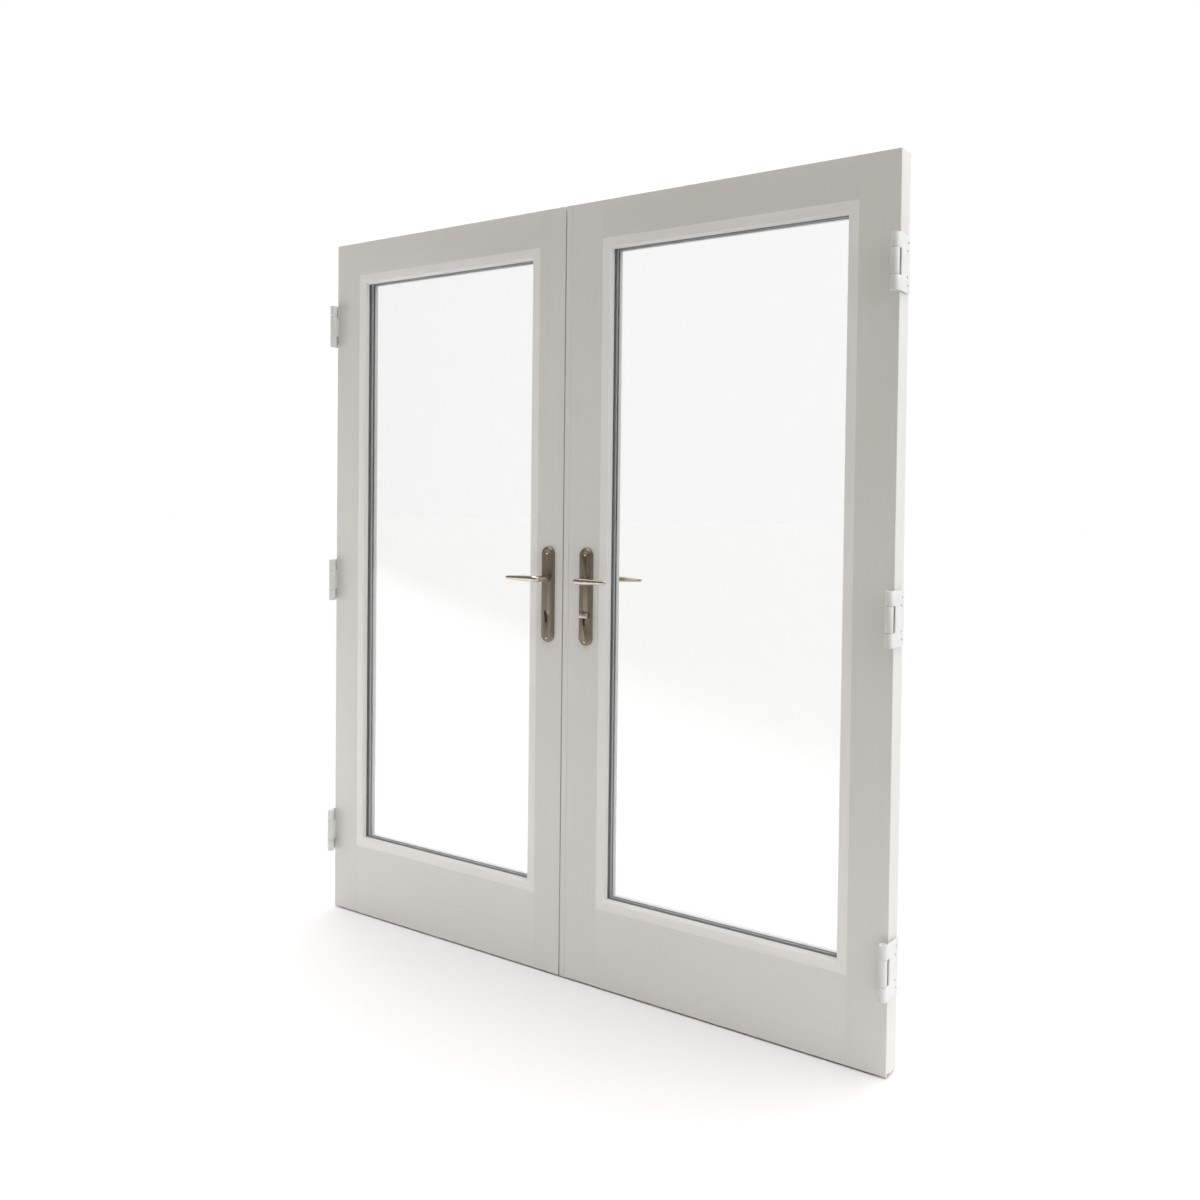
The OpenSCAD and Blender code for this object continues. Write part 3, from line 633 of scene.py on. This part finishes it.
@dataclass
class TimberLeaf:
    """The painted stiles, rails and glazing beads of one leaf."""

    side: Side
    finishes: Finishes
    arris: float = 1.6 * MM
    joint: float = 0.35 * MM
    bead_arris: float = 1.3 * MM
    inside_spacer: float = 12 * MM
    longest_cut: float = 20 * MM
    shortest_bead: float = 50 * MM

    def outer(self, edge: bmesh.types.BMEdge) -> bool:
        """True for the long outer arrises, which the painter has rubbed down most."""
        point = middle(edge)
        on_face = abs(point.y - STILE_LOW.y) < NEAR or abs(point.y - STILE_HIGH.y) < NEAR
        on_end = abs(abs(point.x) - STILE_HIGH.x) < NEAR
        on_top = abs(point.z) < NEAR or abs(point.z - STILE_HIGH.z) < NEAR
        corner = (on_face and (on_end or on_top)) or (on_end and on_top)
        return corner and straight(edge, self.longest_cut)

    def small(self, edge: bmesh.types.BMEdge) -> bool:
        """True for the other straight edges of a stile or rail."""
        return straight(edge, 6 * MM) and not self.outer(edge)

    def build(self) -> None:
        """Makes the four members and the four beads."""
        word = self.side.word
        upright, level = self.finishes.paint_upright, self.finishes.paint_level
        for part, paint in (("hinge_stile", upright), ("meeting_stile", upright),
                            ("top_rail", level), ("bottom_rail", level)):
            node = f"{word}_{part}"
            piece = edged_copy(node, f"{node}_painted", [
                (self.outer, self.arris, 4), (self.small, self.joint, 2)])
            dress(piece, paint, self.side.leaf, [node])
        # The beads use the brighter paint, which is painted light on their slopes.
        beads_upright_painted_light, beads_level_painted_light = self.finishes.bead_upright_painted_light, self.finishes.bead_level_painted_light
        for part, paint in (("hinge_side_bead", beads_upright_painted_light),
                            ("meeting_side_bead", beads_upright_painted_light),
                            ("top_bead", beads_level_painted_light), ("bottom_bead", beads_level_painted_light)):
            node = f"{word}_{part}"
            piece = edged_copy(node, f"{node}_painted", [
                (self.sight_edge, self.bead_arris, 4), (straight, self.joint, 2)])
            dress(piece, paint, self.side.leaf, [node])
        if self.side is Side.RIGHT:
            piece = edged_copy("right_meeting_bead", "right_meeting_bead_painted",
                               [(straight, 0.5 * MM, 3)])
            dress(piece, upright, self.side.leaf, ["right_meeting_bead"])

    def sight_edge(self, edge: bmesh.types.BMEdge) -> bool:
        """True for the front edge of a bead along the glass."""
        point, rim = middle(edge), self.inside_spacer
        inside = (SPACER_LOW.x + rim < abs(point.x) < SPACER_HIGH.x - rim
                  and SPACER_LOW.z + rim < point.z < SPACER_HIGH.z - rim)
        in_front = abs(point.y - STILE_LOW.y) < NEAR
        return inside and in_front and straight(edge, self.shortest_bead)


@dataclass
class GlassUnit:
    """The sealed unit of one leaf: two panes with ground edges, spacer and gaskets."""

    side: Side
    finishes: Finishes
    ground: float = 0.5 * MM
    cavity: float = 6 * MM
    glass_out: float = 12 * MM
    clear_inward: float = 0.985
    clear_outward: float = 1.005

    def build(self) -> None:
        """Makes the panes and dresses the spacer and the gaskets."""
        word = self.side.word
        for part in ("front_pane", "back_pane"):
            node = f"{word}_{part}"
            low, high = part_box(node)
            bm = bmesh.new()
            slab(bm, low, high, self.ground, 1)
            dress(shape_object(f"{node}_ground", bm), self.finishes.glass, self.side.leaf,
                  [node])
        for part, material, slot in (("spacer", self.finishes.spacer, "spacer"),
                                     ("gaskets", self.finishes.gasket, "gasket")):
            node = f"{word}_{part}"
            piece = edged_copy(node, f"{node}_set", [(straight, 0.25 * MM, 2)])
            self.stand_clear(piece)
            dress(piece, material, self.side.leaf, [node])

    def stand_clear(self, piece: bpy.types.Object) -> None:
        """Moves the faces that would lie in the plane of a pane a hair away from it.

        Args:
            piece: The spacer or the gaskets.
        """
        for vert in piece.data.vertices:
            if abs(abs(vert.co.y) - self.cavity) < TOUCHING:
                vert.co.y *= self.clear_inward
            elif abs(abs(vert.co.y) - self.glass_out) < TOUCHING:
                vert.co.y *= self.clear_outward


@dataclass
class HingeSet:
    """The three coated butt hinges of one leaf, with their pins and screws."""

    side: Side
    finishes: Finishes
    soft: float = 0.35 * MM
    knuckle_end: float = 0.8 * MM
    screw_radius: float = 4.5 * MM
    screw_point: float = 1 * MM

    def build(self) -> None:
        """Makes both leaves of each hinge, the pins and the screws of the door leaves."""
        word = self.side.word
        rim = self.knuckle_rim()
        for part, body in (("door_hinge_leaves", self.side.leaf), ("frame_hinge_leaves", "root")):
            node = f"{word}_{part}"
            piece = edged_copy(node, f"{node}_coated", [
                (rim, self.knuckle_end, 2),
                (lambda edge: straight(edge, 2.5 * MM), self.soft, 2)])
            dress(piece, self.finishes.coated_steel, body, [node])
        self.pins()
        self.screws()

    def knuckle_rim(self) -> Rule:
        """Makes a rule that picks the level edges round the outside of a knuckle."""
        low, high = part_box(f"{self.side.word}_hinge_pins")
        centre = (low + high) / 2
        radius = centre.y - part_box(f"{self.side.word}_door_hinge_leaves")[0].y

        def rim(edge: bmesh.types.BMEdge) -> bool:
            """True for one such edge."""
            point = middle(edge)
            away = math.hypot(point.x - centre.x, point.y - centre.y)
            return (abs(edge.verts[0].co.z - edge.verts[1].co.z) < TOUCHING
                    and point.y < centre.y + 1 * MM and abs(away - radius) < 0.4 * MM)
        return rim

    def pins(self) -> None:
        """Makes the pins, with a domed end at the top and the bottom of each hinge."""
        node = f"{self.side.word}_hinge_pins"
        bm = whole_faces(node)
        soften(bm, [edge for edge in bm.edges if sharp(edge)], 0.6 * MM, 3)
        dress(shape_object(f"{node}_domed", bm), self.finishes.zinc, "root", [node])

    def screws(self) -> None:
        """Makes the cross-headed screws of the door leaves and of the flat bar."""
        node = f"{self.side.word}_wood_screws"
        bm = bmesh.new()
        for low, high in islands(node):
            by_hinge = abs(low.x + high.x) > STILE_HIGH.x
            toward = -self.side.value if by_hinge else self.side.value
            head_x = low.x if toward > 0 else high.x
            centre = Vector((head_x, (low.y + high.y) / 2, (low.z + high.z) / 2))
            screw_head(bm, centre, Vector((-toward, 0.0, 0.0)), self.screw_radius, 0.0,
                       (high.x - low.x) - self.screw_point)
        dress(shape_object(f"{node}_turned", bm), self.finishes.zinc, self.side.leaf,
              [node])


def islands(node: str) -> list[tuple[Vector, Vector]]:
    """The box of each separate solid of a node.

    Args:
        node: The name of the node.

    Returns:
        The lowest and highest corner of each solid.
    """
    bm = whole_faces(node)
    left = set(bm.verts)
    boxes = []
    while left:
        stack = [left.pop()]
        points = []
        while stack:
            vert = stack.pop()
            points.append(vert.co.copy())
            for edge in vert.link_edges:
                other = edge.other_vert(vert)
                if other in left:
                    left.remove(other)
                    stack.append(other)
        boxes.append((Vector(map(min, *points)), Vector(map(max, *points))))
    bm.free()
    return boxes


@dataclass
class LeverFurniture:
    """The handle plates and levers of one leaf, on both faces."""

    side: Side
    finishes: Finishes
    neck: float = 7.5 * MM
    grip: float = 8.2 * MM
    tip: float = 4.6 * MM
    bend: float = 12.0 * MM
    bow: float = 1.2 * MM
    flat: float = 0.92
    taper: float = 1.7
    play: float = 0.05 * MM
    collar_gap: float = 0.35 * MM
    screw_radius: float = 4.5 * MM
    screw_dome: float = 0.5 * MM

    @property
    def axis(self) -> Vector:
        """Where the spindle crosses the middle of the leaf."""
        low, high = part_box(f"{self.side.word}_spindle")
        return Vector(((low.x + high.x) / 2, 0.0, (low.z + high.z) / 2))

    def build(self) -> None:
        """Makes the plates, levers, spindle and screws."""
        word = self.side.word
        for face in Face:
            self.plate(face)
            self.lever(face)
        node = f"{word}_spindle"
        piece = edged_copy(node, f"{node}_square", [(straight, 0.4 * MM, 2)])
        dress(piece, self.finishes.zinc, f"{word}_lever", [node])
        self.plate_screws()

    def plate(self, face: Face) -> None:
        """Makes one handle plate, with its chamfer and softened edges."""
        node = f"{self.side.word}_{face.word}_plate"
        piece = edged_copy(node, f"{node}_brushed", [
            (lambda edge: edge.calc_length() > 1.2 * MM, 0.3 * MM, 2)])
        dress(piece, self.finishes.plate_nickel, self.side.leaf, [node])

    def lever(self, face: Face) -> None:
        """Makes one lever, which is a neck, a bend and a tapered grip in one sweep."""
        node = f"{self.side.word}_{face.word}_lever"
        low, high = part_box(node)
        out = Vector((0.0, face.value, 0.0))
        along = Vector((self.side.value, 0.0, 0.0))
        axis = self.axis
        foot = min(abs(low.y), abs(high.y))
        straight_end = max(abs(low.y), abs(high.y)) - self.grip - self.bend
        reach = max(abs(low.x), abs(high.x)) - abs(axis.x) - self.bend
        centre = axis + out * straight_end + along * self.bend
        rings = [(axis + out * (foot + self.play), out, self.neck, self.neck),
                 (axis + out * straight_end, out, self.neck, self.neck)]
        rings += self.bend_rings(centre, out, along)
        rings += self.grip_rings(centre + out * self.bend, out, along, reach)
        bm = bmesh.new()
        tube(bm, rings, 36)
        dress(shape_object(f"{node}_cast", bm, 50.0), self.finishes.lever_nickel,
              f"{self.side.word}_lever", [node])
        self.collar(face, axis, out)

    def bend_rings(self, centre: Vector, out: Vector, along: Vector) -> list[Ring]:
        """The rings round the bend, which swells from the neck to the grip.

        Args:
            centre: The point that the bend turns about.
            out: The way the neck stands out from the leaf.
            along: The way the grip runs.

        Returns:
            The rings, from the neck to the grip.
        """
        rings = []
        for step in range(1, 8):
            angle = math.radians(90.0 * step / 8)
            spot = centre - along * self.bend * math.cos(angle) + out * self.bend * math.sin(angle)
            heading = out * math.cos(angle) + along * math.sin(angle)
            swell = self.neck + (self.grip - self.neck) * step / 8
            rings.append((spot, heading, swell, swell))
        return rings

    def grip_rings(self, start: Vector, out: Vector, along: Vector, reach: float) -> list[Ring]:
        """The rings of the slightly bowed and tapered grip, and of its rounded tip.

        Args:
            start: Where the grip begins.
            out: The way the neck stands out from the leaf.
            along: The way the grip runs.
            reach: The length of the grip.

        Returns:
            The rings, from the bend to the tip.
        """
        rings = []
        for share in (0.0, 0.12, 0.25, 0.4, 0.55, 0.7, 0.82, 0.9):
            thick = self.grip + (self.tip - self.grip) * share ** self.taper
            spot = start + along * reach * share - out * self.bow * math.sin(math.pi * share)
            heading = along - out * 0.03 * math.cos(math.pi * share)
            rings.append((spot, heading, thick * self.flat, thick))
        for angle in (8, 22, 38, 54, 70, 82):
            turn = math.radians(angle)
            radius = (self.tip + 0.3 * MM) * math.cos(turn)
            spot = start + along * (reach - self.tip * (1 - math.sin(turn)) - self.play)
            rings.append((spot, along, radius * self.flat, radius))
        return rings

    def collar(self, face: Face, axis: Vector, out: Vector) -> None:
        """Makes the round collar that turns with the lever, just clear of its plate, in the darker
        plate nickel as painted shade.

        Args:
            face: The face of the leaf that it is on.
            axis: Where the spindle crosses the middle of the leaf.
            out: The way the neck stands out from the leaf.
        """
        low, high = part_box(f"{self.side.word}_{face.word}_plate")
        foot = max(abs(low.y), abs(high.y)) + self.collar_gap
        profile = [(0.0, 10.4), (0.5, 10.95), (3.0, 10.95), (3.7, 10.5), (3.95, 9.6), (3.95, 7.6)]
        bm = bmesh.new()
        tube(bm, [(axis + out * (foot + rise * MM), out, radius * MM, radius * MM)
                  for rise, radius in profile], 48)
        # The darker nickel here is painted shade, in place of the shadow at the root of the lever.
        dress(shape_object(f"{self.side.word}_{face.word}_lever_collar", bm, 50.0),
              self.finishes.plate_nickel, f"{self.side.word}_lever")

    def plate_screws(self) -> None:
        """Makes the two through screws of the front plate."""
        node = f"{self.side.word}_plate_screws"
        bm = bmesh.new()
        for low, high in islands(node):
            centre = Vector(((low.x + high.x) / 2, low.y, (low.z + high.z) / 2))
            screw_head(bm, centre, Vector((0.0, -1.0, 0.0)), self.screw_radius,
                       self.screw_dome, high.y - low.y)
        dress(shape_object(f"{node}_turned", bm), self.finishes.lever_nickel, self.side.leaf,
              [node])


@dataclass
class LockSet:
    """The lock case, flat bar, cylinder, bolts and rods of one leaf."""

    side: Side
    finishes: Finishes

    def build(self) -> None:
        """Makes the pieces that both leaves have, then those of this leaf alone."""
        word, leaf = self.side.word, self.side.leaf
        metal = self.finishes.zinc
        self.copy(f"{word}_lock_case", leaf, metal, 0.5 * MM)
        self.copy(f"{word}_faceplate", leaf, metal, 0.3 * MM)
        node = f"{word}_key_cylinder"
        piece = edged_copy(node, f"{node}_turned", [
            (lambda edge: straight(edge, 6 * MM), 0.3 * MM, 2)])
        dress(piece, self.finishes.lever_nickel, leaf, [node])
        if self.side is Side.LEFT:
            for rod in ("left_top_rod", "left_bottom_rod"):
                self.rod(rod)
        else:
            self.copy("right_bolt_cases", leaf, metal, 0.5 * MM)
            self.copy("right_drive_rail", "right_drive_rail", metal, 0.3 * MM)
            self.copy("right_middle_bolt", "right_bolts", metal, 1.2 * MM)
            self.rod("right_round_bolts", "right_bolts")
            self.thumb_turn()

    def copy(self, node: str, body: str, material: bpy.types.Material, width: float) -> None:
        """Dresses a copy of a node with rounded straight edges.

        Args:
            node: The name of the node.
            body: The body that it moves with.
            material: Its material.
            width: The width of the rounding.
        """
        piece = edged_copy(node, f"{node}_plated", [(straight, width, 3)])
        dress(piece, material, body, [node])

    def rod(self, node: str, body: str = "") -> None:
        """Dresses a round bar, with its ends chamfered.

        Args:
            node: The name of the node.
            body: The body that it moves with, if it isn't named as the node is.
        """
        bm = whole_faces(node)
        soften(bm, [edge for edge in bm.edges if sharp(edge)], 0.9 * MM, 3)
        dress(shape_object(f"{node}_turned", bm), self.finishes.zinc, body or node,
              [node])

    def thumb_turn(self) -> None:
        """Makes the thumb turn: a rounded bar on a stub, and the plug behind it."""
        node = "right_thumb_turn"
        low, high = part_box(node)
        inset, bar_depth, rounding = 0.1 * MM, 7 * MM, 3.2 * MM
        bm = bmesh.new()
        slab(bm, Vector((low.x + inset, low.y, low.z)),
             Vector((high.x - inset, low.y + bar_depth, high.z)), rounding, 6)
        front = Vector(((low.x + high.x) / 2, low.y, (low.z + high.z) / 2))
        inward = Vector((0.0, 1.0, 0.0))
        profile = [(6.5, 5.0), (14.4, 5.0), (14.5, 6.2), (14.8, 6.45), (34.3, 6.45), (34.5, 6.2)]
        tube(bm, [(front + inward * rise * MM, inward, radius * MM, radius * MM)
                  for rise, radius in profile], 32)
        dress(shape_object(f"{node}_cast", bm, 50.0), self.finishes.lever_nickel, node,
              [node])


# ---------------------------------------------------------------- stage


@dataclass(frozen=True)
class Lamp:
    """A soft square lamp, which is neither mirrored by shiny pieces nor seen through the glass.

    The spot, the aim and the size are in metres, the power is in watts and the spread in degrees.
    """

    name: str
    spot: Triple
    aim: Triple
    size: float
    power: float
    colour: Triple
    spread: float = 180.0

    def build(self) -> None:
        """Adds the lamp to the scene."""
        data = bpy.data.lights.new(self.name, "AREA")
        data.shape, data.size, data.energy = "SQUARE", self.size, self.power
        data.color = self.colour
        data.spread = math.radians(self.spread)
        lamp = bpy.data.objects.new(self.name, data)
        lamp.visible_glossy = lamp.visible_transmission = False
        lamp.location = self.spot
        way = Vector(self.aim) - Vector(self.spot)
        lamp.rotation_euler = way.to_track_quat("-Z", "Y").to_euler()
        bpy.context.scene.collection.objects.link(lamp)


@dataclass(frozen=True)
class Studio:
    """The floor, the light and the camera.

    Each turn is the pair of values between which one colour gives way to the next. They are metres
    of Y for floor_turn, metres along floor_fade for fade_turn, and cosines for the others.
    """

    eye: Triple = (1.858, -2.454, 1.265)
    yaw: float = 35.85
    pitch: float = 1.43
    roll: float = 0.65
    lens: float = 34.77
    shift_y: float = -0.0577
    standing_gap: float = 4 * MM
    floor_pale: Triple = (0.86, 0.86, 0.86)
    floor_far: Triple = (0.73, 0.73, 0.73)
    floor_grey: Triple = (0.27, 0.265, 0.255)
    floor_fade: Triple = (-0.586, 0.810, 0.0)
    front_light: Triple = (0.18, 0.15, 0.115)
    back_light: Triple = (1.05, 1.05, 1.05)
    top_light: Triple = (3.4, 3.4, 3.4)
    floor_turn: tuple[float, float] = (-0.05, 0.35)
    fade_turn: tuple[float, float] = (-2.3, -1.25)
    back_way: Triple = (0.30, 0.95, 0.05)
    back_turn: tuple[float, float] = (-0.42, 0.12)
    top_turn: tuple[float, float] = (0.80, 0.92)
    lamps: tuple[Lamp, ...] = (
        Lamp("side_light", (4.4, -0.45, 2.7), (0.6, 0.0, 1.9), 2.0, 11.0, (0.97, 0.985, 1.0), 90.0),
        Lamp("left_card", (-2.8, -1.3, 1.3), (-0.8, 0.0, 1.1), 1.6, 11.0, (0.95, 0.98, 1.0)))

    def camera(self) -> None:
        """Makes the camera."""
        data = bpy.data.cameras.new("camera")
        data.lens, data.sensor_width, data.shift_y = self.lens, 36.0, self.shift_y
        data.clip_end = 200.0
        eye = bpy.data.objects.new("camera", data)
        turn = (Matrix.Rotation(math.radians(self.yaw), 4, "Z")
                @ Matrix.Rotation(math.radians(90.0 - self.pitch), 4, "X")
                @ Matrix.Rotation(math.radians(self.roll), 4, "Z"))
        eye.matrix_world = Matrix.Translation(self.eye) @ turn
        bpy.context.scene.collection.objects.link(eye)
        bpy.context.scene.camera = eye

    def floor(self) -> None:
        """Makes the plain floor: palest before the doors, duller behind, grey well in front."""
        bm = bmesh.new()
        bmesh.ops.create_grid(bm, x_segments=2, y_segments=2, size=60.0)
        bmesh.ops.translate(bm, verts=bm.verts[:], vec=(0.0, 0.0, -self.standing_gap))
        ground = shape_object("floor", bm)
        surface = Surface("pale_floor")
        clouds = surface.noise((1.3, 1.3, 1.3), detail=2.0)
        turn = surface.tree.nodes.new("ShaderNodeVectorMath")
        turn.operation = "DOT_PRODUCT"
        turn.inputs[1].default_value = self.floor_fade
        surface.tree.links.new(surface.place, turn.inputs[0])
        fade = surface.span(turn.outputs["Value"], 0.0, 1.0, *self.fade_turn)
        pale = surface.blend(surface.span(clouds, 0.0, 1.0), self.floor_pale,
                             tuple(share * 1.01 for share in self.floor_pale))
        beyond = surface.span(surface.depth(), 0.0, 1.0, *self.floor_turn)
        pale = surface.blend(beyond, pale, self.floor_far)
        surface.join(surface.blend(fade, self.floor_grey, pale), "Base Color")
        surface.fix(Roughness=0.8)
        ground.data.materials.append(surface.material)

    def world(self) -> None:
        """Makes the surrounding light: white behind, dimmer in front, brightest overhead."""
        world = bpy.data.worlds.new("studio")
        bpy.context.scene.world = world
        world.use_nodes = True
        tree = world.node_tree
        ground = tree.nodes["Background"]
        place = tree.nodes.new("ShaderNodeTexCoord").outputs["Generated"]

        def lobe(toward: Triple, low: float,
                 high: float) -> bpy.types.NodeSocket:
            """A smooth step from 0 to 1 over the cosine from a direction."""
            dot = tree.nodes.new("ShaderNodeVectorMath")
            dot.operation = "DOT_PRODUCT"
            dot.inputs[1].default_value = Vector(toward).normalized()
            tree.links.new(place, dot.inputs[0])
            span = tree.nodes.new("ShaderNodeMapRange")
            span.interpolation_type = "SMOOTHSTEP"
            span.inputs["From Min"].default_value = low
            span.inputs["From Max"].default_value = high
            tree.links.new(dot.outputs["Value"], span.inputs["Value"])
            return span.outputs["Result"]

        def mix(factor: bpy.types.NodeSocket, first: tuple | bpy.types.NodeSocket,
                second: tuple) -> bpy.types.NodeSocket:
            """Mixes a colour or a socket with a colour."""
            node = tree.nodes.new("ShaderNodeMixRGB")
            tree.links.new(factor, node.inputs["Fac"])
            node.inputs["Color2"].default_value = (*second, 1.0)
            if isinstance(first, tuple):
                node.inputs["Color1"].default_value = (*first, 1.0)
            else:
                tree.links.new(first, node.inputs["Color1"])
            return node.outputs["Color"]

        sides = mix(lobe(self.back_way, *self.back_turn), self.front_light, self.back_light)
        light = mix(lobe((0.0, 0.0, 1.0), *self.top_turn), sides, self.top_light)
        tree.links.new(light, ground.inputs["Color"])

    def build(self) -> None:
        """Makes the whole stage."""
        self.camera()
        self.floor()
        self.world()
        for lamp in self.lamps:
            lamp.build()
        view = bpy.context.scene.view_settings
        view.view_transform, view.look = "Standard", "None"


def main() -> None:
    """Builds the studio and both leaves."""
    logging.basicConfig(level=logging.INFO, format="%(name)s: %(message)s")
    Studio().build()
    finishes = Finishes()
    for side in Side:
        for assembly in (TimberLeaf, GlassUnit, HingeSet, LeverFurniture, LockSet):
            assembly(side, finishes).build()


if __name__ == "__main__":
    main()
